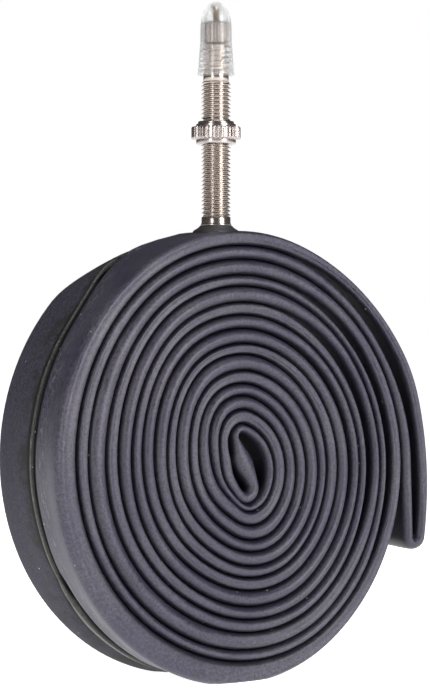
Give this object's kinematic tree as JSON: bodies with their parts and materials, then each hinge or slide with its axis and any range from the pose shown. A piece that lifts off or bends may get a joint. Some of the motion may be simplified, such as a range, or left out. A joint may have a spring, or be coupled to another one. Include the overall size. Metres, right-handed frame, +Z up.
{
  "type": "inner tube",
  "caption": "Rolled bicycle inner tube with a threaded Presta valve, rim nut and clear dust cap.",
  "frame": {"origin": "on the valve axis, at mid width of the tube, on the small flat the roll rests on", "axes": "+Z up along the valve, Y along the roll's axis, the near fold towards +X, the open face of the roll towards -Y"},
  "size_m": [0.0905, 0.025, 0.1362],
  "materials": {
    "butyl_rubber": "satin, slightly dusty",
    "nickel_plate": "nickel plated brass, bright",
    "bare_brass": "bare brass, dull",
    "seal_rubber": "moulded",
    "clear_plastic": "clear, glossy"
  },
  "bodies": {
    "roll": {"tube": "butyl_rubber", "valve_foot": "butyl_rubber", "valve_stem": "nickel_plate", "core_body": "nickel_plate", "core_gasket": "seal_rubber"},
    "nut": {"rim_nut": "nickel_plate"},
    "pin": {"core_pin": "bare_brass", "pin_seal": "seal_rubber", "seal_collar": "bare_brass"},
    "lock": {"lock_nut": "nickel_plate"},
    "cap": {"dust_cap": "clear_plastic"}
  },
  "joints": [
    {"name": "rim_nut_travel", "type": "slide", "parent": "roll", "child": "nut", "axis": [0, 0, 1], "range_m": [-0.014, 0.0074]},
    {"name": "cap_off", "type": "slide", "parent": "roll", "child": "cap", "axis": [0, 0, 1], "range_m": [0, 0.016]},
    {"name": "pin_press", "type": "slide", "parent": "roll", "child": "pin", "axis": [0, 0, -1], "range_m": [0, 0.0012]},
    {"name": "lock_nut_travel", "type": "slide", "parent": "pin", "child": "lock", "axis": [0, 0, 1], "range_m": [0, 0.0015]}
  ],
  "couplings": [
    {"joint": "pin_press", "follows": "lock_nut_travel", "ratio": 0.8}
  ]
}
